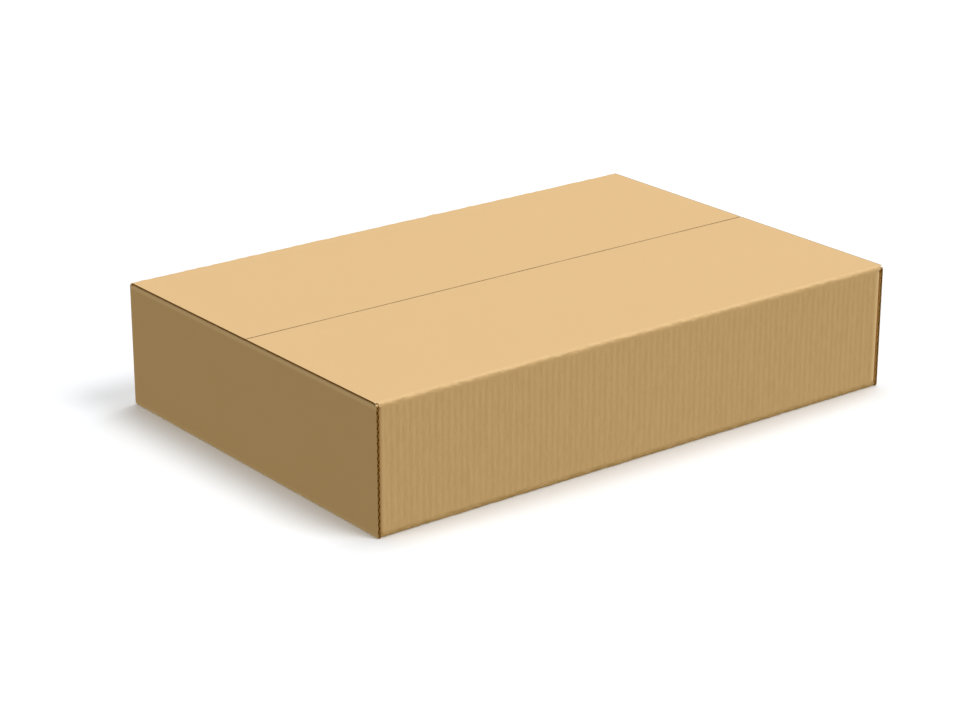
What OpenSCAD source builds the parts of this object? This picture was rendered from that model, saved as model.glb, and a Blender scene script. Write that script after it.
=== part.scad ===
// Closed corrugated box, folded from one cross-shaped sheet.
// Long walls carry two top flaps that meet along the middle. End walls fold up outside the corner tabs,
// and carry inner flaps that lie under the top flaps. The origin is the middle of the underside.

/* [Box] */
// Outside length, along X
box_l = 600; // [300:10:900]
// Outside width, along Y
box_w = 400; // [260:10:600]
// Outside height with the flaps closed
box_h = 123.5; // [70:0.5:300]

/* [Board] */
// Thickness of the corrugated board
board_t = 2.8; // [2:0.1:4.5]
// Thickness of each facing paper
liner_t = 0.3; // [0.2:0.05:0.5]
// Thickness of the fluted paper between the facings
medium_t = 0.25; // [0.15:0.05:0.4]
// Distance from one flute to the next
flute_pitch = 6.75; // [5:0.05:9]
// Width of the glue line that holds a flute to a facing
glue_w = 0.5; // [0.3:0.1:1]

/* [Folds] */
// Inside radius of every fold
fold_in_r = 1.2; // [0.8:0.1:3]
// Clearance between two layers that lie on each other
lap_gap = 0.3; // [0.1:0.1:0.8]
// Length over which the flutes are crushed beside a crease
crush_l = 3; // [1:0.5:8]
// Width of the slit in the crease on which a top flap turns
crease_slit = 0.1; // [0.05:0.05:0.3]

/* [Flaps and tabs] */
// Gap between the two top flaps
seam_gap = 0.6; // [0.2:0.1:3]
// Length of an inner end flap, from the outside of its end wall
inner_flap_l = 110; // [40:5:140]
// Gap between an inner end flap and the folds beside it
inner_flap_side = 0.8; // [0.3:0.1:3]
// How much an inner end flap narrows on each side
inner_flap_taper = 6; // [0:1:20]
// Length of a corner tab, from the outside of its long wall
tab_l = 110; // [40:5:125]
// Gap under and over a corner tab
tab_clear = 0.6; // [0.3:0.1:3]
// How much a corner tab narrows at the top and at the bottom
tab_taper = 5; // [0:1:15]

/* [Hidden] */
$fn = 64;
kraft = [0.84, 0.69, 0.48];
over = 1;
fold_r = fold_in_r + board_t;
// the end walls stop under the top flaps, and the tabs stand inside the end walls
end_h = box_h - board_t - lap_gap;
tab_x = box_l / 2 - board_t - lap_gap;
crease_w = box_w - 2 * (fold_r + inner_flap_side);
tab_bottom = board_t + tab_clear;
tab_top = end_h - board_t - tab_clear;
// a whole number of flutes fits the length, so a top flap ends in half a flute on both sides
flap_flutes = round(box_l / flute_pitch);
flap_pitch = box_l / flap_flutes;
flute_depth = board_t - 2 * liner_t - medium_t;
slit = crease_slit / sqrt(2);
// places across half a flute, as shares of its half width, where its arch has a point
flap_arch = [0.4, 0, -0.4];
wall_arch = [0.72, 0.45, 0.18, -0.18, -0.45, -0.72];

// Height of a flute's arch, from 0 beside the glue lines to 1 at its top
function arch(share) = (1 + cos(180 * share)) / 2;

// Section of the hollow between a flute and one facing. It stands on the facing at height base.
module flute_hollow(centre, base, side, pitch, shares) {
    half = (pitch - glue_w) / 2;
    polygon(concat(
        [[centre - half, base], [centre + half, base]],
        [for (s = shares) [centre + s * half, base + side * flute_depth * arch(s)]]
    ));
}

// Rectangle with rounded corners, centred on x, standing on y = 0
module round_rect(w, h, r) {
    for (x = [-1, 1], y = [r, h - r])
        translate([x * (w / 2 - r), y])
            circle(r);
    translate([-w / 2, r])
        square([w, h - 2 * r]);
    translate([-w / 2 + r, 0])
        square([w - 2 * r, h]);
}

// Section of board folded round four corners
module board_loop(w, h) {
    difference() {
        round_rect(w, h, fold_r);
        translate([0, board_t])
            round_rect(w - 2 * board_t, h - 2 * board_t, fold_in_r);
    }
}

// Base and long walls, seen along X, up to the mitres on which the top flaps turn
module wall_section() {
    y = box_w / 2 - fold_r;
    z = box_h - fold_r - slit;
    intersection() {
        board_loop(box_w, box_h);
        polygon([[-y, z], [-y - 2 * fold_r, z + 2 * fold_r], [-y - 2 * fold_r, -over],
            [y + 2 * fold_r, -over], [y + 2 * fold_r, z + 2 * fold_r], [y, z]]);
    }
}

// Front top flap, seen along X, from its mitre to the seam
module flap_section() {
    y = box_w / 2 - fold_r;
    z = box_h - fold_r + slit;
    intersection() {
        board_loop(box_w, box_h);
        polygon([[-y, z], [-seam_gap / 2, z], [-seam_gap / 2, z + 2 * fold_r], [-y - 2 * fold_r, z + 2 * fold_r]]);
    }
}

// End walls and inner flaps, seen along Y
module end_section() {
    difference() {
        board_loop(box_l, end_h);
        translate([-box_l / 2 + inner_flap_l, end_h / 2])
            square([box_l - 2 * inner_flap_l, end_h]);
    }
}

// The part of the end walls that reaches past their creases to the corners of the box
module wing_section() {
    difference() {
        round_rect(box_l, end_h, fold_r);
        translate([-box_l / 2 + board_t, -over])
            square([box_l - 2 * board_t, end_h + 2 * over]);
    }
}

// Room for flutes inside an end wall, between its two facings
module wall_core() {
    intersection() {
        translate([0, liner_t])
            round_rect(box_l - 2 * liner_t, end_h - 2 * liner_t, fold_r - liner_t);
        translate([box_l / 2 - board_t + liner_t, 0])
            square([board_t - 2 * liner_t, end_h]);
    }
}

// Flute hollows of the right end wall, seen along Y, laid out from the middle of its height
module wall_flutes() {
    count = floor(end_h / flute_pitch);
    intersection() {
        wall_core();
        translate([box_l / 2, end_h / 2])
            rotate(90)
                for (i = [-count:count])
                    if (i % 2 == 0)
                        flute_hollow(i * flute_pitch / 2, liner_t, 1, flute_pitch, wall_arch);
                    else
                        flute_hollow(i * flute_pitch / 2, board_t - liner_t, -1, flute_pitch, wall_arch);
    }
}

// Both long walls with their corner tabs, seen from above and standing between the folds
module wall_band() {
    y = box_w / 2 - fold_r;
    tip = box_w / 2 - tab_l;
    intersection() {
        translate([0, -box_w / 2, 0])
            linear_extrude(box_h)
                board_loop(2 * tab_x, box_w);
        rotate([90, 0, 90])
            linear_extrude(box_l, center = true)
                for (side = [0, 1])
                    mirror([side, 0])
                        polygon([[-y - 2 * fold_r, fold_r], [-y, fold_r], [-y, tab_bottom],
                            [-tip, tab_bottom + tab_taper], [-tip, tab_top - tab_taper], [-y, tab_top],
                            [-y, box_h - fold_r], [-y - 2 * fold_r, box_h - fold_r]]);
    }
}

// Base, long walls and the lower halves of their top folds
module long_walls() {
    difference() {
        rotate([90, 0, 90])
            linear_extrude(2 * tab_x, center = true)
                wall_section();
        for (x = [-1, 1], y = [-1, 1])
            translate([x * tab_x, y * box_w / 2, box_h / 2])
                cube([2 * fold_r, 2 * fold_r, box_h - 2 * fold_r], center = true);
    }
    wall_band();
}

// Corners that are cut from the inner flaps, so that they narrow towards their edges
module inner_flap_corners() {
    for (x = [0, 1], y = [0, 1])
        mirror([x, 0, 0])
            mirror([0, y, 0])
                translate([0, 0, end_h - board_t - tab_clear / 2])
                    linear_extrude(board_t + tab_clear)
                        polygon([[box_l / 2 - fold_r, crease_w / 2],
                            [box_l / 2 - fold_r, crease_w / 2 + over],
                            [box_l / 2 - inner_flap_l - over, crease_w / 2 + over],
                            [box_l / 2 - inner_flap_l - over, crease_w / 2 - inner_flap_taper]]);
}

// End walls, with their creases, inner flaps and open flutes
module end_walls() {
    difference() {
        union() {
            difference() {
                rotate([90, 0, 0])
                    linear_extrude(crease_w, center = true)
                        end_section();
                inner_flap_corners();
            }
            rotate([90, 0, 0])
                linear_extrude(box_w, center = true)
                    wing_section();
        }
        for (side = [0, 1])
            mirror([side, 0, 0])
                rotate([90, 0, 0])
                    linear_extrude(box_w + 2 * over, center = true)
                        wall_flutes();
    }
}

module box_body() {
    color(kraft) {
        long_walls();
        end_walls();
    }
}

// Flute hollows of a top flap. They open at the seam and end in the crushed board beside the crease.
// The last one on each end is cut in half by the flap's edge, and runs on to the fold.
module flap_flutes() {
    crease_y = box_w / 2 - fold_r;
    translate([0, over, box_h - board_t])
        rotate([90, 0, 0]) {
            linear_extrude(crease_y - crush_l + over) {
                for (i = [0.5:flap_flutes])
                    flute_hollow(i * flap_pitch - box_l / 2, liner_t, 1, flap_pitch, flap_arch);
                for (i = [1:flap_flutes - 1])
                    flute_hollow(i * flap_pitch - box_l / 2, board_t - liner_t, -1, flap_pitch, flap_arch);
            }
            linear_extrude(crease_y + over)
                for (x = [-1, 1])
                    flute_hollow(x * box_l / 2, board_t - liner_t, -1, flap_pitch, flap_arch);
        }
}

// A top flap, lying closed. Where it laps an end wall, nothing of its fold reaches below its underside.
module top_flap() {
    color(kraft)
        difference() {
            rotate([90, 0, 90])
                linear_extrude(box_l, center = true)
                    flap_section();
            for (x = [-1, 1])
                translate([x * (tab_x + box_l / 2), -box_w / 2, box_h - board_t - fold_r])
                    cube([box_l, 2 * fold_r, 2 * fold_r], center = true);
            flap_flutes();
        }
}

module front_flap() {
    top_flap();
}

module rear_flap() {
    mirror([0, 1, 0])
        top_flap();
}

box_body();
front_flap();
rear_flap();
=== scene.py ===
import math

import bmesh
import bpy
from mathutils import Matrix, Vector, noise


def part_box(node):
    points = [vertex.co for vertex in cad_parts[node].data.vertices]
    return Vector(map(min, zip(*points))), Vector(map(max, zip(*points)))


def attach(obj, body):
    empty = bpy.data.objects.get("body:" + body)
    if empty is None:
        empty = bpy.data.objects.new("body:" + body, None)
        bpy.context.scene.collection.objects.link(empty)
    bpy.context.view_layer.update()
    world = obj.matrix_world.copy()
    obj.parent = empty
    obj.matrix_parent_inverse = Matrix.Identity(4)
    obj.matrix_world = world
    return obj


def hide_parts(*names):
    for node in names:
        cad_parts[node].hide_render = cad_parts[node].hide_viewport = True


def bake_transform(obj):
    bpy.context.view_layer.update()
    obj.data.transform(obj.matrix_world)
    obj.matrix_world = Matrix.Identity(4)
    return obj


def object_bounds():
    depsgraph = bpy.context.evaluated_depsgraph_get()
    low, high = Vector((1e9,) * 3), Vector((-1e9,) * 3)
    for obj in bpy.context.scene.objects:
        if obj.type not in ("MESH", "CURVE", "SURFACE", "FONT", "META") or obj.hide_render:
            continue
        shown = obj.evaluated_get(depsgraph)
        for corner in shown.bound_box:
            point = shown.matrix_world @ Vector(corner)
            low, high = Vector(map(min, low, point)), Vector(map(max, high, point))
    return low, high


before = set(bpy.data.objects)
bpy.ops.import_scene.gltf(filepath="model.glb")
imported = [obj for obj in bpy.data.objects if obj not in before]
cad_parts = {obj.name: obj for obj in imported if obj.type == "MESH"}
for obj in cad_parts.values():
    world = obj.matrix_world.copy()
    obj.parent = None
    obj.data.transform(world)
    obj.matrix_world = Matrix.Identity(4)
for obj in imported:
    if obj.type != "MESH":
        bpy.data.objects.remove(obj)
lowest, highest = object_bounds()
print("frame loaded:", sorted(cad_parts))

# The box is laid out flat first, outside face down at z = 0, and then folded up.
# "Flat" distances below are measured on that blank, from the middle of the base.
board = {
    "thick": 0.0028,
    "liner": 0.0003,
    "medium": 0.00025,
    "foldRadius": 0.004,      # outside face of every fold
    "foldPower": 2.7,         # 2 is a round fold, and more is squarer
    "footPower": 4.0,         # the same for the folds on which the box stands
    "lapGap": 0.0003,         # between two layers that lie on each other
    "flutes": 89,             # along the length of the box
    "linerSteps": 6,          # lines of points per flute on a liner
    "waveSteps": 12,          # the same on the fluted paper
    "foldSteps": 12,          # lines of points round a fold
    "land": 0.002,            # flat strip on both sides of a top crease
    "creaseGap": 0.0008,      # between the end of an end panel's crease and the fold beside it
    "sameLine": 0.00002,      # lines of points closer than this become one
    "spareStep": 0.001,       # a share of a step that is only rounding
    "touch": 0.00001,         # points closer than this to a face or a line lie on it
    "sharp": 32,              # an edge folded more than this, in degrees, isn't smoothed
}

boxLength = highest.x - lowest.x
boxWidth = highest.y - lowest.y
boxHeight = highest.z - lowest.z
seamHalf = -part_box("front_flap")[1].y
thick, radius = board["thick"], board["foldRadius"]
arc = radius * math.pi / 2
pitch = boxLength / board["flutes"]
endHeight = boxHeight - thick - board["lapGap"]

sideCrease = boxWidth / 2 - radius                        # flat y of the long walls' lower folds
wallStart = sideCrease + arc
topCrease = wallStart + boxHeight - 2 * radius
flapStart = topCrease + arc
flapEnd = flapStart + sideCrease - seamHalf
endCrease = boxLength / 2 - radius                        # flat x of the end walls' lower folds
endStart = endCrease + arc
innerCrease = endStart + endHeight - 2 * radius
innerStart = innerCrease + arc
tabFace = boxLength / 2 - thick - board["lapGap"]
cornerCrease = tabFace - radius
creaseHalf = sideCrease - board["creaseGap"]


def stepLines(start, end, step):
    count = max(1, math.ceil(abs(end - start) / step - board["spareStep"]))
    return [start + (end - start) * i / count for i in range(count + 1)]


def joinLines(*parts):
    every = sorted(value for part in parts for value in part)
    return [v for i, v in enumerate(every) if i == 0 or v - every[i - 1] > board["sameLine"]]


def foldLines(start):
    return stepLines(start, start + arc, arc / board["foldSteps"])


def bothSides(lines):
    return joinLines([-v for v in lines], lines)


def easeStep(value, start, end):
    share = min(1, max(0, (value - start) / (end - start)))
    return share * share * (3 - 2 * share)


# A flat sheet: a row of points along xs, extruded from each y to the next.
def laySheet(xs, ys):
    mesh = bmesh.new()
    tip = bmesh.ops.create_vert(mesh, co=(xs[0], ys[0], 0))["vert"]
    for x in xs[1:]:
        tip = bmesh.ops.extrude_vert_indiv(mesh, verts=tip)["verts"]
        tip[0].co.x = x
    row = mesh.edges[:]
    for y in ys[1:]:
        grown = bmesh.ops.extrude_edge_only(mesh, edges=row)["geom"]
        moved = {g for g in grown if isinstance(g, bmesh.types.BMVert)}
        for vert in moved:
            vert.co.y = y
        row = [g for g in grown if isinstance(g, bmesh.types.BMEdge) and moved.issuperset(g.verts)]
    return mesh


def cutAway(mesh, isWaste):
    waste = [f for f in mesh.faces if isWaste(abs(f.calc_center_median().x), abs(f.calc_center_median().y))]
    bmesh.ops.delete(mesh, geom=waste, context="FACES")


# Gives a flat or waved sheet its thickness. Its lowest point comes to the given depth in the board.
def thicken(mesh, depth, thickness):
    mesh.normal_update()
    bmesh.ops.solidify(mesh, geom=mesh.faces[:], thickness=thickness)
    drop = depth - min(v.co.z for v in mesh.verts)
    bmesh.ops.translate(mesh, verts=mesh.verts[:], vec=(0, 0, drop))


# Remembers where each point lies on the flat blank, so that the paper's pattern follows the folds.
def markBlank(mesh):
    layer = mesh.verts.layers.float_vector.new("blank")
    for vert in mesh.verts:
        vert[layer] = vert.co


# Folds up through a quarter turn what lies past a crease.
def foldUp(verts, axis, crease, power=board["foldPower"]):
    for vert in verts:
        side = math.copysign(1, vert.co[axis])
        past = abs(vert.co[axis]) - crease
        if past <= 0:
            continue
        reach = radius - vert.co.z
        if past < arc:
            turn = past / radius
            shape = power(vert) if callable(power) else power
            reach /= (math.sin(turn) ** shape + math.cos(turn) ** shape) ** (1 / shape)
            vert.co[axis] = side * (crease + reach * math.sin(turn))
            vert.co.z = radius - reach * math.cos(turn)
        else:
            vert.co[axis] = side * (crease + reach)
            vert.co.z = radius + past - arc


# How far a face of the board sinks between two flutes, and how a crease crushes it unevenly.
relief = {
    "wall": 0.00018,
    "flap": 0.000012,
    "inside": 0.6,            # share of it on the inner face
    "fade": 0.006,            # the flutes fade out over this length beside a crease
    "uneven": 0.35,           # how much one flute differs from the next
    "unevenAlong": 0.45,      # waves of that difference per flute, and per metre along a flute
    "unevenUp": 12,
    "unevenSeed": 5.3,
    "fold": 0.00060,          # greatest dent in a fold
    "foldLength": 0.0075,     # usual length of such a dent, and its width
    "foldWidth": 0.004,
    "foldSeed": 2.2,
    "foldMean": 0.45,         # mean dent and its swing, as shares
    "foldSwing": 0.9,
    "finer": 2.7,             # how much finer the second size of dents is, and its share
    "finerShare": 0.5,
}


def fluteSink(x, y):
    outside = abs(y)
    if outside < sideCrease or abs(x) > cornerCrease:
        return 0
    depth = relief["wall"] if outside < flapStart else relief["flap"]
    for crease in (sideCrease + arc / 2, topCrease + arc / 2):
        depth *= easeStep(abs(outside - crease), arc / 2, arc / 2 + relief["fade"])
    place = Vector((x / pitch * relief["unevenAlong"], y * relief["unevenUp"], relief["unevenSeed"]))
    vary = 1 + relief["uneven"] * noise.noise(place)
    return depth * vary * (0.5 - 0.5 * math.cos(2 * math.pi * x / pitch))


def foldDent(x, y):
    outside = abs(y)
    for crease in (sideCrease, topCrease):
        past = (outside - crease) / arc
        if 0 < past < 1:
            place = Vector((x / relief["foldLength"], y / relief["foldWidth"], relief["foldSeed"]))
            dents = noise.noise(place) + relief["finerShare"] * noise.noise(place * relief["finer"])
            share = relief["foldMean"] + relief["foldSwing"] * dents
            return relief["fold"] * math.sin(math.pi * past) * share
    return 0


def pressFaces(mesh, outside, inside):
    for vert in mesh.verts:
        x, y, depth = vert.co
        if outside and depth < board["touch"]:
            vert.co.z += fluteSink(x, y) + foldDent(x, y)
        elif inside and depth > thick - board["touch"]:
            vert.co.z -= relief["inside"] * fluteSink(x, y)


def finishPiece(name, layers):
    parts = []
    for mesh, kind in layers:
        bmesh.ops.recalc_face_normals(mesh, faces=mesh.faces[:])
        for face in mesh.faces:
            face.smooth = True
        for edge in mesh.edges:
            edge.smooth = edge.is_manifold and edge.calc_face_angle(0) < math.radians(board["sharp"])
        data = bpy.data.meshes.new(name)
        mesh.to_mesh(data)
        mesh.free()
        data.materials.append(papers[kind])
        part = bpy.data.objects.new(name, data)
        bpy.context.scene.collection.objects.link(part)
        parts.append(part)
    if len(parts) > 1:
        with bpy.context.temp_override(active_object=parts[0], object=parts[0], selected_objects=parts,
                                       selected_editable_objects=parts):
            bpy.ops.object.join()
    parts[0].name = name
    return parts[0]


# One socket, so that shader maths reads as ordinary maths.
class Wire:
    def __init__(self, paint, socket):
        self.paint, self.socket = paint, socket

    def maths(self, operation, first, second):
        return self.paint.add("ShaderNodeMath", {"operation": operation}, {0: first, 1: second})

    def __add__(self, other):
        return self.maths("ADD", self, other)

    def __sub__(self, other):
        return self.maths("SUBTRACT", self, other)

    def __rsub__(self, other):
        return self.maths("SUBTRACT", other, self)

    def __mul__(self, other):
        return self.maths("MULTIPLY", self, other)

    def __abs__(self):
        return self.paint.add("ShaderNodeMath", {"operation": "ABSOLUTE"}, {0: self})

    __radd__, __rmul__ = __add__, __mul__

    # 0 before the first value, 1 past the second, and smooth between them
    def between(self, start, end):
        return self.paint.add("ShaderNodeMapRange", {"interpolation_type": "SMOOTHSTEP"},
                              {0: self, 1: start, 2: end, 3: 0.0, 4: 1.0})

    # the same over a named ramp, counted from a line on the blank
    def ramp(self, name, line=0.0):
        start, end = ramps[name]
        return self.between(line + start, line + end)

    # a noise's swing both ways from its middle, as strong as the named share
    def swing(self, name):
        return (self - 0.5) * shares[name]


class Paint:
    def __init__(self, owner):
        self.owner = owner
        owner.use_nodes = True
        self.tree = owner.node_tree
        self.tree.nodes.clear()

    # adds one node: its settings are set first, then its sockets, to values or to wires
    def add(self, kind, settings=None, sockets=None, out=0):
        node = self.tree.nodes.new(kind)
        for key, value in (settings or {}).items():
            setattr(node, key, value)
        for key, value in (sockets or {}).items():
            if isinstance(value, Wire):
                self.tree.links.new(value.socket, node.inputs[key])
            else:
                node.inputs[key].default_value = value
        return Wire(self, node.outputs[out]) if len(node.outputs) else node

    def mixColour(self, amount, first, second):
        return self.add("ShaderNodeMix", {"data_type": "RGBA"}, {0: amount, 6: first, 7: second}, out=2)

    # a point's place on the flat blank, whole and as x, y and depth in the board
    def blankPlace(self):
        blank = self.add("ShaderNodeAttribute", {"attribute_name": "blank"}, out=1)
        parts = self.add("ShaderNodeSeparateXYZ", {}, {0: blank}).socket.node
        return blank, *(Wire(self, parts.outputs[i]) for i in range(3))

    # uncoated paper: dull, with a fine relief given in metres
    def finishPaper(self, colour, roughness, surface):
        bump = self.add("ShaderNodeBump", {}, {
            "Strength": kraft["bump"], "Distance": 1.0, "Height": surface})
        shader = self.add("ShaderNodeBsdfPrincipled", {}, {
            "Base Color": colour, "Roughness": roughness, "Normal": bump,
            "Specular IOR Level": kraft["shine"]})
        self.add("ShaderNodeOutputMaterial", {}, {"Surface": shader})
        return self.owner

    # one of the named noises on the blank
    def grain(self, blank, name):
        lengths, detail, rough = grains[name]
        stretched = self.add("ShaderNodeVectorMath", {"operation": "DIVIDE"}, {0: blank, 1: lengths})
        return self.add("ShaderNodeTexNoise", {"noise_dimensions": "3D"},
                        {"Vector": stretched, "Scale": 1.0, "Detail": detail, "Roughness": rough})


kraft = {
    "light": (0.812, 0.556, 0.287, 1),
    "dark": (0.742, 0.497, 0.242, 1),
    "footShade": (0.560, 0.370, 0.160, 1),     # painted shade along the folds at the bottom
    "foldHighlight": (0.930, 0.675, 0.375, 1),       # painted highlight along the folds, partly rubbed paler
    "inner": (0.735, 0.490, 0.232, 1),
    "hollow": (0.39, 0.190, 0.028, 1),      # painted shade in the hollows between the flutes, at the left corners of the box
    # painted shade in the hollows at the right corners, lighter
    "rightHollowShade": (0.41, 0.245, 0.064, 1),
    "flapHollowShade": (0.56, 0.310, 0.075, 1),  # the same painted shade in the top flaps
    "flutedCut": (0.84, 0.500, 0.140, 1),
    "cut": (0.78, 0.540, 0.270, 1),
    "endRimShade": (0.31, 0.140, 0.018, 1),      # painted shade on the rims of the papers at the left corners
    # painted shade on the rims at the right corners, lighter than at the left ones, and darker deeper in
    # the board
    "rightRimShade": (0.70, 0.460, 0.190, 1),
    "rightGapShade": (0.36, 0.210, 0.070, 1),
    "flapSideShade": (0.13, 0.050, 0.004, 1),     # painted shade along the sides of the top flaps and on the seam's rims
    "roughness": 0.82,
    "flutedRoughness": 0.86,
    "shine": 0.12,
    "bump": 0.5,
}

# Grain lengths in metres along x, y and through the board, then the noise's detail and roughness.
grains = {
    "cloud": ((0.060, 0.095, 0.05), 2.0, 0.5),
    "fleck": ((0.0011, 0.0042, 0.002), 3.0, 0.62),
    "strand": ((0.0065, 0.0009, 0.002), 2.0, 0.6),
    "streak": ((0.0019, 0.014, 0.05), 2.0, 0.5),
    "broad": ((0.0060, 0.050, 0.05), 1.0, 0.5),
    # patches of the painted highlight on the top folds
    "rubbedHighlight": ((0.007, 0.0030, 0.01), 3.0, 0.6),
    # patches of the painted shade at the long walls' feet
    "patchyFootShade": ((0.009, 0.0030, 0.01), 3.0, 0.65),
    "flutedCloud": ((0.004, 0.004, 0.002), 3.0, 0.6),
    "flutedFleck": ((0.0008, 0.0020, 0.001), 2.0, 0.6),
}

# How strongly each pattern shows.
shares = {
    "streak": 1.62,               # on the long walls
    "broad": 0.82,
    "fleck": 0.98,
    # painted shade of the flutes' ridges on the long walls
    "wave": 0.15,
    "cloud": 0.06,                # everywhere
    "speck": 0.05,
    "hair": 0.04,
    "topMiddle": 0.62,            # where in a fold the painted highlight lies
    "endMiddle": 0.48,
    "footMiddle": 0.5,
    "topHighlight": 0.28,              # how strong the painted highlight, partly rubbed paler, is on each kind of fold
    "endHighlight": 0.60,
    "footHighlight": 0.55,
    "uprightHighlight": 0.20,
    "uprightRight": 0.80,         # painted highlight added to it at the right corners
    # least painted shade at the long walls' feet, between its patches
    "leastFootShade": 0.30,
    "flutedCloud": 0.15,
    "cloudRough": 0.10,           # change of roughness
    "fleckRough": 0.16,
    "flutedRough": 0.12,
    "fleckRelief": 0.000020,      # height of the relief, in metres
    "strandRelief": 0.000018,
    "streakRelief": 0.00006,
    "flutedRelief": 0.00005,
}

# Where each change of colour starts and ends, in metres past the line on the blank that it belongs to.
ramps = {
    "toRight": (-0.1, 0.1),               # from the left corners' colours to the right ones': painted shade, darker at the left and lighter at the right, where the light comes from
    "wallFoot": (-0.002, 0.004),          # the streaks of the long walls
    "wallTop": (-0.004, 0.001),
    "wallCorner": (-0.003, 0.004),
    "topHighlight": (0.0006, 0.0034),          # half widths of the folds' painted highlights
    "endHighlight": (0.0010, 0.0030),
    "footHighlight": (0.0010, 0.0036),
    "footDepth": (0.0002, 0.0004),        # only outside, and not on the cut edges
    "footSide": (-0.001, 0.0),
    "uprightStart": (-0.003, 0.001),
    "uprightFoot": (0.003, 0.006),
    "uprightTop": (-0.003, 0.0),
    "footShadeTop": (-0.0010, 0.0032),
    "footShadeCorner": (0.0, 0.002),
    "innerFace": (0.0015, 0.0017),
    "outerRim": (0.00004, 0.0001),        # cut edges of the papers, and their faces between the flutes
    "innerRim": (-0.0001, -0.00004),
    "outerHollow": (0.00026, 0.00029),
    "innerHollow": (-0.00029, -0.00026),
    "flap": (-0.001, 0.0),
    "endPanel": (0.005, 0.010),
    "seam": (-0.0020, -0.0015),
    "outerPaper": (0.0010, 0.0014),
    "rightGapShade": (0.0010, 0.0016),
    "sideHollow": (-0.0032, -0.0024),
    "side": (-0.0009, -0.0001),
    "flutedEdge": (-0.0004, -0.0002),
    "pastEdge": (0.001, 0.002),
    "flutedSeam": (-0.0006, -0.0004),
    "flutedFlap": (0.05, 0.06),
    "tone": (-0.5, 0.5),                  # from here on of a value, not of a distance
    "speck": (0.60, 0.80),
    "hair": (0.58, 0.85),
    "rubbedHighlight": (0.34, 0.58),
    "patchyFootShade": (0.35, 0.65),
    "flutedCloud": (0.3, 0.7),
    "full": (0.0, 1.0),
}


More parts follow.
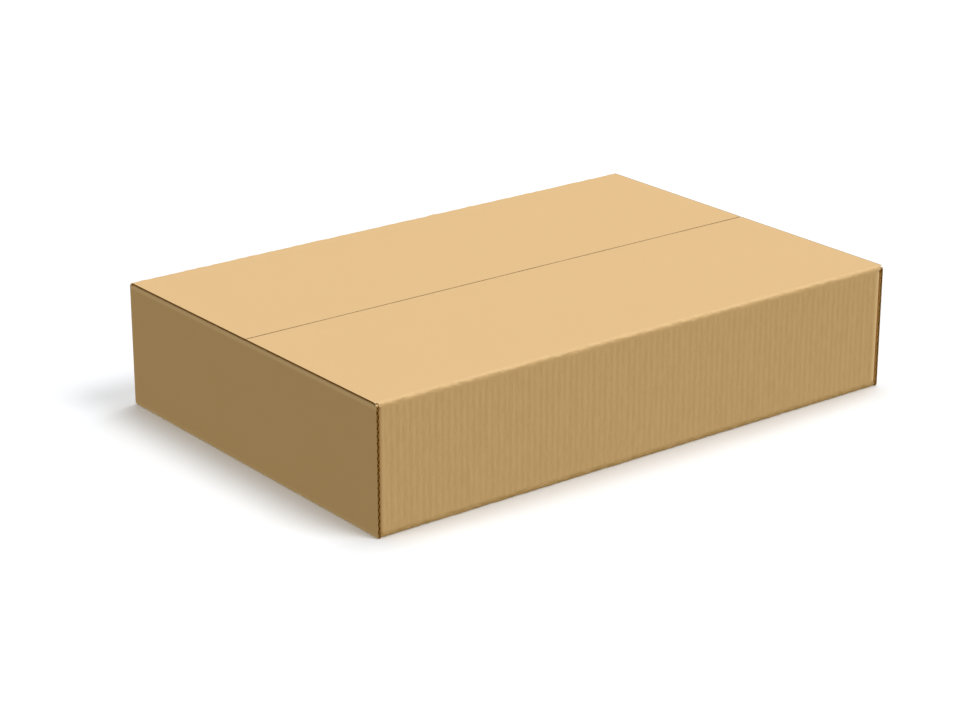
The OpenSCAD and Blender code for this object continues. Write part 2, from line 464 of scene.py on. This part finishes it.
def linerMaterial():
    paint = Paint(bpy.data.materials.new("kraftLiner"))
    blank, x, y, depth = paint.blankPlace()
    reach, span = abs(y), abs(x)
    toRight = x.ramp("toRight")
    half, side = boxWidth / 2, boxLength / 2

    cloud, fleck, strand, streak, broad = (
        paint.grain(blank, name) for name in ("cloud", "fleck", "strand", "streak", "broad"))
    # the long walls get soft streaks of random tone, and a painted shade at the flutes' pitch, as their
    # ridges would throw it under light from the right
    onWall = reach.ramp("wallFoot", wallStart) * (1 - reach.ramp("wallTop", topCrease))
    onWall = onWall * (1 - span.ramp("wallCorner", cornerCrease))
    wave = paint.add("ShaderNodeMath", {"operation": "SINE"}, {0: x * (2 * math.pi / pitch)})
    stripes = streak.swing("streak") + broad.swing("broad") + fleck.swing("fleck")
    stripes = (stripes - wave * shares["wave"]) * onWall
    speck = fleck.ramp("speck") * shares["speck"] + strand.ramp("hair") * shares["hair"]
    tone = cloud.swing("cloud") + stripes + speck
    colour = paint.mixColour(tone.ramp("tone"), kraft["light"], kraft["dark"])

    # folds get a painted highlight, partly rubbed paler: the top ones in patches, those of the end walls at
    # top and foot, and the upright ones, more at the right corners
    topFold = 1 - abs(reach - (topCrease + shares["topMiddle"] * arc)).ramp("topHighlight")
    topFold = topFold * paint.grain(blank, "rubbedHighlight").ramp("rubbedHighlight")
    endFold = 1 - abs(span - (innerCrease + shares["endMiddle"] * arc)).ramp("endHighlight")
    footFold = 1 - abs(span - (endCrease + shares["footMiddle"] * arc)).ramp("footHighlight")
    footFold = footFold * (1 - depth.ramp("footDepth")) * (1 - reach.ramp("footSide", half))
    upright = span.ramp("uprightStart", cornerCrease) * (1 - span.between(tabFace, endStart))
    upright = upright * reach.ramp("uprightFoot", half) * (1 - reach.ramp("uprightTop", topCrease))
    lightening = topFold * shares["topHighlight"] + endFold * shares["endHighlight"] + footFold * shares["footHighlight"]
    lightening = lightening + upright * (shares["uprightHighlight"] + shares["uprightRight"] * toRight)
    colour = paint.mixColour(lightening, colour, kraft["foldHighlight"])

    # the folds on which the long walls stand get a painted shade, uneven in patches
    lowFold = 1 - reach.ramp("footShadeTop", wallStart)
    lowFold = lowFold * reach.between(sideCrease, sideCrease + arc / 2)
    lowFold = lowFold * (1 - span.ramp("footShadeCorner", tabFace))
    patches = paint.grain(blank, "patchyFootShade").ramp("patchyFootShade")
    patchyFootShade = lowFold * (shares["leastFootShade"] + (1 - shares["leastFootShade"]) * patches)
    colour = paint.mixColour(patchyFootShade, colour, kraft["footShade"])
    colour = paint.mixColour(depth.ramp("innerFace"), colour, kraft["inner"])

    # cut edges of the paper, and its faces between the flutes: painted shade in the hollows and on the rims
    # at the corners, along the seam and at the flaps' sides, darker at the left corners than at the right
    # ones
    edge = depth.ramp("outerRim") * (1 - depth.ramp("innerRim", thick))
    deep = depth.ramp("outerHollow") * (1 - depth.ramp("innerHollow", thick))
    inFlap = reach.ramp("flap", flapStart)
    atEnd = span.between(endCrease, endStart) * (1 - reach.ramp("endPanel", half))
    atEnd = atEnd + reach.ramp("seam", flapEnd)
    # painted shade on the outer paper's rim along the sides of a top flap too
    atEnd = atEnd + inFlap * (1 - depth.ramp("outerPaper"))
    rightRimShade = paint.mixColour(depth.ramp("rightGapShade"), kraft["rightRimShade"], kraft["rightGapShade"])
    endRimShade = paint.mixColour(toRight, kraft["endRimShade"], rightRimShade)
    endRimShade = paint.mixColour(inFlap, endRimShade, kraft["flapSideShade"])
    cut = paint.mixColour(atEnd.ramp("full"), kraft["cut"], endRimShade)
    hollow = paint.mixColour(toRight, kraft["hollow"], kraft["rightHollowShade"])
    hollow = paint.mixColour(inFlap, hollow, kraft["flapHollowShade"])
    # painted shade at the flaps' sides: in their hollows, and on their faces close to the side
    hollow = paint.mixColour(inFlap * span.ramp("sideHollow", side), hollow, kraft["flapSideShade"])
    colour = paint.mixColour(inFlap * span.ramp("side", side), colour, kraft["flapSideShade"])
    colour = paint.mixColour(edge, colour, paint.mixColour(deep, cut, hollow))

    roughness = kraft["roughness"] + cloud.swing("cloudRough") + fleck.swing("fleckRough")
    surface = fleck.swing("fleckRelief") + strand.swing("strandRelief")
    surface = surface + streak.swing("streakRelief") * onWall
    return paint.finishPaper(colour, roughness, surface)


def flutedMaterial():
    paint = Paint(bpy.data.materials.new("flutedPaper"))
    blank, x, y = paint.blankPlace()[:3]
    reach, half = abs(y), boxWidth / 2
    cloud, fleck = paint.grain(blank, "flutedCloud"), paint.grain(blank, "flutedFleck")
    # its faces carry the painted shade of the hollows, darker at the left corners than at the right ones;
    # its cut edges, at the corners of the box and along the seam, are paler than its faces
    edge = reach.ramp("flutedEdge", half) * (1 - reach.ramp("pastEdge", half))
    edge = edge + reach.ramp("flutedSeam", flapEnd)
    lightening = cloud.ramp("flutedCloud") * shares["flutedCloud"]
    colour = paint.mixColour(x.ramp("toRight"), kraft["hollow"], kraft["rightHollowShade"])
    colour = paint.mixColour(reach.ramp("flutedFlap", half), colour, kraft["flapHollowShade"])
    colour = paint.mixColour(lightening, colour, kraft["flutedCut"])
    colour = paint.mixColour(edge, colour, kraft["flutedCut"])
    roughness = kraft["flutedRoughness"] + fleck.swing("flutedRough")
    return paint.finishPaper(colour, roughness, fleck.swing("flutedRelief"))


papers = {"liner": linerMaterial(), "fluted": flutedMaterial()}
print("paper materials made")

# Base, long walls and corner tabs: one sheet with its slots cut, folded at the corners and along the base.
walls = {
    "tabLength": 0.110,       # from the outside of the long wall
    "tabTaper": 0.005,
    "tabClear": 0.0006,
    "slot": 0.0001,
    "endJoin": 0.290,         # flat x at which the base passes to an end panel
    "baseStep": 0.02,         # between lines of points
    "wallStep": 0.0085,
    "tabStep": 0.012,
}


def wallsAndBase():
    tabEnd = cornerCrease + arc + walls["tabLength"] - radius
    tabLow = wallStart + walls["tabClear"]
    tabHigh = wallStart + endHeight - thick - walls["tabClear"] - radius
    wallTop = topCrease - board["land"]
    fine = pitch / board["linerSteps"]
    xs = bothSides(joinLines(
        stepLines(0, cornerCrease, fine), [walls["endJoin"], tabFace], foldLines(cornerCrease),
        stepLines(cornerCrease + arc, tabEnd, walls["tabStep"])))
    slotTop = wallStart + walls["slot"]
    ys = bothSides(joinLines(
        stepLines(0, creaseHalf, walls["baseStep"]), [sideCrease], foldLines(sideCrease),
        stepLines(slotTop, wallTop, walls["wallStep"]), [tabLow, tabHigh, topCrease]))

    def isWaste(x, y):
        if y < creaseHalf:
            return x > walls["endJoin"]
        if y < wallStart:
            return x > tabFace
        if y < slotTop:
            return x > cornerCrease
        if x < cornerCrease:
            return y > wallTop
        if x < cornerCrease + arc:
            return False
        return not tabLow < y < tabHigh

    mesh = laySheet(xs, ys)
    cutAway(mesh, isWaste)
    middle = (tabLow + tabHigh) / 2
    for vert in mesh.verts:
        past = max(0, abs(vert.co.x) - cornerCrease - arc) / (tabEnd - cornerCrease - arc)
        squeeze = 1 - 2 * walls["tabTaper"] * past / (tabHigh - tabLow)
        if past > 0:
            vert.co.y = math.copysign(middle + (abs(vert.co.y) - middle) * squeeze, vert.co.y)
    thicken(mesh, 0, thick)
    markBlank(mesh)
    pressFaces(mesh, True, True)
    foldUp([v for v in mesh.verts if abs(v.co.y) > wallStart + walls["slot"] / 2], 0, cornerCrease)
    foldUp(mesh.verts, 1, sideCrease, board["footPower"])
    return mesh


# End walls: two liners with the fluted paper between them, open at both cut edges, and an inner flap.
ends = {
    "flapLength": 0.110,      # from the outside of the end wall
    "flapTaper": 0.006,
    "pitch": 0.00675,
    "foldPower": 5.0,         # the folds at the top are squarer than the others, and bulge a little
    "innerPower": 2.0,
    "foldBulge": 0.0014,
    "bulgePower": 3,
    "earTop": 0.1205,         # height at which the papers of an unfolded corner end
    "earWidth": 0.0026,
    "earFoot": 0.008,         # length over which they are drawn out
    "capTop": 0.1221,         # their edge, pressed together, bulges up to this height
    "capHeight": 0.0010,
    "capWider": 0.0003,
    "capPower": 0.62,
    "capRings": (20, 14),
    "fluteGap": 0.0012,       # from the ends of the fluted paper to the box's foot and the wall's top
    "cornerFoot": 0.00025,    # lowest point of the inner paper's corners
    "acrossStep": 0.025,      # between lines of points: across a panel, along its cut edges, up a corner
    "edgeStep": 0.0009,
    "cornerStep": 0.001,
}
innerEnd = innerStart + ends["flapLength"] - radius
# length of the lower fold up to where it passes the wall's inner face
wingLow = radius * math.asin((radius - thick) / radius)


# Lines of points along the cut edge of an end panel.
def edgeLines():
    half = boxWidth / 2
    return stepLines(half - ends["earWidth"], half, ends["edgeStep"])


# Past the ends of its creases, an end panel stays straight.
def folds(vert):
    return abs(vert.co.y) < creaseHalf + board["touch"]


# How far an end wall's top fold bulges at a point of the blank.
def topBulge(vert):
    past = min(1, max(0, (abs(vert.co.x) - innerCrease) / arc))
    return ends["foldBulge"] * math.sin(math.pi * past) ** ends["bulgePower"]


# Draws the tops of the papers at an unfolded corner up to their height.
def liftEars(verts):
    top = max(v.co.z for v in verts)
    for vert in verts:
        across = easeStep(abs(vert.co.y), creaseHalf, boxWidth / 2 - ends["earWidth"])
        up = max(0, (vert.co.z - top + ends["earFoot"]) / ends["earFoot"])
        vert.co.z += (ends["earTop"] - top) * across * up


def endLiner(side, depth, isOuter):
    fine = ends["pitch"] / board["linerSteps"]
    xs = joinLines(
        [walls["endJoin"], endCrease], foldLines(endCrease), stepLines(endStart, innerCrease, fine),
        foldLines(innerCrease), stepLines(innerStart, innerEnd, ends["pitch"] / 2))
    low, high = endStart, innerCrease
    if isOuter:
        low, high = endCrease + wingLow, innerCrease + ends["earTop"] - endHeight + radius
        xs = joinLines(xs, [low, high])
    ys = bothSides(joinLines(stepLines(0, creaseHalf, ends["acrossStep"]), edgeLines()))
    mesh = laySheet([side * x for x in xs], ys)
    cutAway(mesh, lambda x, y: y > creaseHalf and not low < x < high)
    for vert in mesh.verts:
        past = max(0, abs(vert.co.x) - innerStart) / (innerEnd - innerStart)
        vert.co.y *= 1 - ends["flapTaper"] * past / creaseHalf
    thicken(mesh, depth, board["liner"])
    markBlank(mesh)
    folded = [v for v in mesh.verts if folds(v)]
    lift = {v: topBulge(v) for v in folded} if isOuter else {}
    foldUp(folded, 0, innerCrease, ends["foldPower" if isOuter else "innerPower"])
    foldUp(mesh.verts, 0, endCrease, board["footPower"])
    for vert, rise in lift.items():
        vert.co.z += rise
    return mesh


# Where the papers of an unfolded corner are pressed together, its edge bulges.
def earCap(side, front):
    mesh = bmesh.new()
    around, along = ends["capRings"]
    bmesh.ops.create_uvsphere(mesh, u_segments=around, v_segments=along, radius=1)
    layer = mesh.verts.layers.float_vector.new("blank")
    size = Vector((thick / 2, (ends["earWidth"] + ends["capWider"]) / 2, ends["capHeight"]))
    centre = Vector((boxLength / 2 - size.x, boxWidth / 2 - size.y, ends["capTop"] - size.z))
    for vert in mesh.verts:
        swollen = [math.copysign(abs(c) ** ends["capPower"], c) * size[i] for i, c in enumerate(vert.co)]
        vert.co = centre + Vector(swollen)
        vert.co.x *= side
        vert.co.y *= front
        vert[layer] = (vert.co.x, vert.co.y, 0)
    return mesh


# The inner liner's corners run straight up and down past the folds.
def endCorner(side, front, low, high):
    x = boxLength / 2 - thick
    mesh = laySheet(stepLines(low, high, ends["cornerStep"]), joinLines([creaseHalf], edgeLines()))
    thicken(mesh, 0, board["liner"])
    layer = mesh.verts.layers.float_vector.new("blank")
    innerDepth = thick - board["liner"]
    for vert in mesh.verts:
        vert[layer] = (side * (endStart + vert.co.x / 2), front * vert.co.y, innerDepth + vert.co.z)
        vert.co = (side * (x + vert.co.z), front * vert.co.y, vert.co.x)
    if high > endHeight / 2:
        liftEars(mesh.verts)
    return mesh


# Fluted paper of an end wall. It is straight, and pressed together where the fold leaves less room.
def endFlutes(side):
    low, high = ends["fluteGap"], endHeight - ends["fluteGap"]
    fold = radius - board["liner"]
    ys = bothSides(joinLines([0.0, creaseHalf], edgeLines()))
    mesh = laySheet(stepLines(low, high, ends["pitch"] / board["waveSteps"]), ys)
    nearest, farthest = board["liner"], thick - board["liner"]
    middle = endHeight / 2
    for vert in mesh.verts:
        z = vert.co.x
        pressed = max(0, z - (endHeight - radius)) if folds(vert) else 0
        beyond = max(0, radius - z, pressed) / fold
        power = ends["foldPower"] if z > middle else board["footPower"]
        outer = nearest + fold * (1 - (1 - beyond ** power) ** (1 / power))
        swing = (farthest - outer - board["medium"]) / 2
        wave = math.cos(2 * math.pi * (z - middle) / ends["pitch"])
        vert.co.z = (farthest + outer) / 2 + swing * wave
    thicken(mesh, nearest, board["medium"])
    markBlank(mesh)
    for vert in mesh.verts:
        vert.co = (side * (boxLength / 2 - vert.co.z), vert.co.y, vert.co.x)
    liftEars(mesh.verts)
    return mesh


def innerFlutes(side):
    xs = stepLines(innerStart, innerEnd, ends["pitch"] / board["waveSteps"])
    mesh = laySheet([side * x for x in xs], [-creaseHalf, 0, creaseHalf])
    for vert in mesh.verts:
        past = (abs(vert.co.x) - innerStart) / (innerEnd - innerStart)
        vert.co.y *= 1 - ends["flapTaper"] * past / creaseHalf
        swing = (thick - 2 * board["liner"] - board["medium"]) / 2
        vert.co.z = swing * math.cos(2 * math.pi * (abs(vert.co.x) - innerEnd) / ends["pitch"])
    thicken(mesh, board["liner"], board["medium"])
    markBlank(mesh)
    foldUp(mesh.verts, 0, innerCrease)
    foldUp(mesh.verts, 0, endCrease)
    return mesh


layers = [(wallsAndBase(), "liner")]
for side in (-1, 1):
    layers.append((endLiner(side, 0, True), "liner"))
    layers.append((endLiner(side, thick - board["liner"], False), "liner"))
    layers.append((endFlutes(side), "fluted"))
    layers.append((innerFlutes(side), "fluted"))
    for front in (-1, 1):
        layers.append((endCorner(side, front, ends["cornerFoot"], radius), "liner"))
        layers.append((endCorner(side, front, endHeight - radius, endHeight), "liner"))
        layers.append((earCap(side, front), "liner"))
foldedBox = finishPiece("foldedBox", layers)
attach(foldedBox, "box")
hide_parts("box_body")
print("walls, base and end panels folded")

# Top flaps: liner, fluted paper and liner, open at the seam. Each is joined to its wall by a strip of
# whole board round the crease.
flaps = {
    "lip": 0.0031,            # width of the flap over an end wall
    "lipSquare": 4.0,         # how much squarer its fold gets towards the corner
    "lipStart": 0.64,         # share of the fold that is cut back there, clear of the unfolded corner
    "pinch": 0.00125,         # how far the side edges are pressed together from below, and over what width
    "pinchWidth": 0.0042,
    "seamInset": 0.00026,
    "seamWander": 0.00015,
    "wanderLength": 0.045,    # lengths of the slow and the quick turns of the seam's edges
    "nickLength": 0.006,
    "nickShare": 0.6,
    "wanderSeed": 0.7,
    "nickSeed": 3.1,
    "creaseStep": 0.005,      # between lines of points: beside the crease, along the flap, at the seam
    "step": 0.03,
    "seamStep": 0.002,
    "lipSteps": 4,
}


def keepSide(mesh, front):
    for vert in mesh.verts:
        vert.co.y *= front


def seamWander(verts):
    for vert in verts:
        x, y = vert.co.x, abs(vert.co.y)
        if y > flapEnd - board["touch"]:
            slow = noise.noise(Vector((x / flaps["wanderLength"], flaps["wanderSeed"], 0)))
            quick = noise.noise(Vector((x / flaps["nickLength"], flaps["nickSeed"], 0)))
            vert.co.y -= flaps["seamInset"] + flaps["seamWander"] * (slow + flaps["nickShare"] * quick)


def pinchEdges(verts):
    half = boxLength / 2
    for vert in verts:
        across = easeStep(abs(vert.co.x), half - flaps["pinchWidth"], half)
        inward = (vert.co.z - board["liner"]) / (thick - 2 * board["liner"])
        vert.co.z -= flaps["pinch"] * across * min(1, max(0, inward))


def flapSheet(front, depth, isLiner):
    half = boxLength / 2
    steps = board["linerSteps"] if isLiner else board["waveSteps"]
    start = flapStart + board["land"]
    ys = [start, flapEnd]
    if isLiner:
        ys[1:1] = stepLines(start + flaps["creaseStep"], flapEnd - flaps["seamStep"], flaps["step"])
    mesh = laySheet(stepLines(-half, half, pitch / steps), ys)
    if not isLiner:
        swing = (thick - 2 * board["liner"] - board["medium"]) / 2
        for vert in mesh.verts:
            vert.co.z = swing * math.cos(2 * math.pi * (vert.co.x - half) / pitch)
    seamWander(mesh.verts)
    thicken(mesh, depth, board["liner"] if isLiner else board["medium"])
    keepSide(mesh, front)
    markBlank(mesh)
    if isLiner:
        pressFaces(mesh, depth == 0, depth > 0)
    pinchEdges(mesh.verts)
    foldUp(mesh.verts, 1, topCrease)
    foldUp(mesh.verts, 1, sideCrease)
    return mesh


def creaseStrip(front):
    fine = pitch / board["linerSteps"]
    xs = joinLines(stepLines(-cornerCrease, cornerCrease, fine), [-tabFace, tabFace])
    land = board["land"]
    ys = joinLines([topCrease - land, topCrease], foldLines(topCrease), [flapStart + land])
    mesh = laySheet(xs, ys)
    cutAway(mesh, lambda x, y: x > cornerCrease and y < topCrease)
    thicken(mesh, 0, thick)
    keepSide(mesh, front)
    markBlank(mesh)
    pressFaces(mesh, True, True)
    foldUp(mesh.verts, 1, topCrease)
    foldUp(mesh.verts, 1, sideCrease)
    return mesh


# The flap's papers go on over the end wall, and the outer one ends in the fold.
def creaseLip(front, side, depth):
    half = boxLength / 2
    first = topCrease + arc * flaps["lipStart"]
    ys = joinLines(stepLines(first, flapStart, arc / board["foldSteps"]) if depth == 0 else [flapStart],
                   [flapStart + board["land"]])
    mesh = laySheet(stepLines(side * tabFace, side * half, flaps["lip"] / flaps["lipSteps"]), ys)
    thicken(mesh, depth, board["liner"])
    keepSide(mesh, front)
    markBlank(mesh)
    pressFaces(mesh, depth == 0, depth > 0)
    pinchEdges(mesh.verts)

    def lipPower(vert):
        return board["foldPower"] + flaps["lipSquare"] * easeStep(abs(vert.co.x), tabFace, half)

    foldUp(mesh.verts, 1, topCrease, lipPower)
    foldUp(mesh.verts, 1, sideCrease)
    return mesh


for front, word in ((-1, "front"), (1, "rear")):
    body = word + "_top_flap"
    flap = finishPiece(word + "TopFlap", [
        (flapSheet(front, 0, True), "liner"),
        (flapSheet(front, board["liner"], False), "fluted"),
        (flapSheet(front, thick - board["liner"], True), "liner")])
    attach(flap, body)
    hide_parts(word + "_flap")
    lips = [creaseLip(front, side, depth) for side in (-1, 1) for depth in (0, thick - board["liner"])]
    crease = finishPiece(word + "TopCrease", [(mesh, "liner") for mesh in (creaseStrip(front), *lips)])
    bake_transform(crease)
print("top flaps and creases folded")

# Pale floor, soft light and the photograph's camera.
studio = {
    "floorSize": 30.0,
    "floorGap": 0.00005,                    # under the box
    "floorLight": (0.26, 0.222, 0.116, 1),  # lights the box from below, unseen
    "seenFloor": (1.07, 1.10, 1.14, 1),     # what the camera sees, above white where no shadow lies
    "ambient": 0.11,
    # azimuth from +X, elevation and width in degrees, share of the light on a level face, and colour
    "lamps": {
        "key": (301.0, 57.0, 25.0, 0.300, (1, 1, 1)),
        "overhead": (35.0, 76.0, 25.0, 0.296, (1, 1, 1)),
        "high": (122.0, 77.5, 25.0, 0.124, (1, 1, 1)),
        "left": (166.0, 24.0, 25.0, 0.080, (1.0, 0.99, 0.92)),
        "front": (284.0, 11.0, 22.0, 0.0482, (1.0, 0.95, 0.78)),
        "right": (14.0, 14.0, 22.0, 0.048, (1, 1, 1)),
    },
    "lampReach": 3,
    "camera": (-1.48942, -1.88146, 0.927216),
    "aim": (-0.065557, -0.038028, 0.06175),
    "lens": 99.41,
    "sensor": 36,
    "clip": 100,
}


# 1 on the rays that see the surroundings: straight from the camera, mirrored or through glass
def seenRay(paint):
    ray = paint.add("ShaderNodeLightPath").socket.node
    kinds = ("Is Camera Ray", "Is Glossy Ray", "Is Transmission Ray")
    first, *others = (Wire(paint, ray.outputs[kind]) for kind in kinds)
    for other in others:
        first = first.maths("MAXIMUM", first, other)
    return first


def floorMaterial():
    paint = Paint(bpy.data.materials.new("paleFloor"))
    unseen = paint.add("ShaderNodeEmission", {}, {"Color": studio["floorLight"], "Strength": 1.0})
    seen = paint.add("ShaderNodeBsdfDiffuse", {}, {"Color": studio["seenFloor"]})
    shader = paint.add("ShaderNodeMixShader", {}, {0: seenRay(paint), 1: unseen, 2: seen})
    paint.add("ShaderNodeOutputMaterial", {}, {"Surface": shader})
    return paint.owner


floorMesh = bmesh.new()
bmesh.ops.create_grid(floorMesh, x_segments=4, y_segments=4, size=studio["floorSize"] / 2)
bmesh.ops.translate(floorMesh, verts=floorMesh.verts[:], vec=(0, 0, -studio["floorGap"]))
floorData = bpy.data.meshes.new("floor")
floorMesh.to_mesh(floorData)
floorMesh.free()
floorData.materials.append(floorMaterial())
floor = bpy.data.objects.new("floor", floorData)
bpy.context.scene.collection.objects.link(floor)

world = bpy.data.worlds.new("studio")
bpy.context.scene.world = world
sky = Paint(world)
dim = sky.add("ShaderNodeBackground", {}, {"Color": (1, 1, 1, 1), "Strength": studio["ambient"]})
white = sky.add("ShaderNodeBackground", {}, {"Color": (1, 1, 1, 1), "Strength": 1.0})
backdrop = sky.add("ShaderNodeMixShader", {}, {0: seenRay(sky), 1: dim, 2: white})
sky.add("ShaderNodeOutputWorld", {}, {"Surface": backdrop})

for name, (azimuth, elevation, width, share, colour) in studio["lamps"].items():
    lamp = bpy.data.lights.new(name, "SUN")
    lamp.color = colour
    turn, rise = math.radians(azimuth), math.radians(elevation)
    lamp.energy = share * math.pi / math.sin(rise)
    lamp.angle = math.radians(width)
    holder = bpy.data.objects.new(name, lamp)
    toLamp = Vector((math.cos(turn) * math.cos(rise), math.sin(turn) * math.cos(rise), math.sin(rise)))
    holder.rotation_euler = toLamp.to_track_quat("Z", "Y").to_euler()
    holder.location = toLamp * studio["lampReach"]
    bpy.context.scene.collection.objects.link(holder)

cameraData = bpy.data.cameras.new("camera")
cameraData.lens = studio["lens"]
cameraData.sensor_width = studio["sensor"]
cameraData.clip_end = studio["clip"]
camera = bpy.data.objects.new("camera", cameraData)
camera.location = studio["camera"]
camera.rotation_euler = (Vector(studio["aim"]) - camera.location).to_track_quat("-Z", "Y").to_euler()
bpy.context.scene.collection.objects.link(camera)
bpy.context.scene.camera = camera
bpy.context.scene.view_settings.view_transform = "Standard"
print("studio ready")
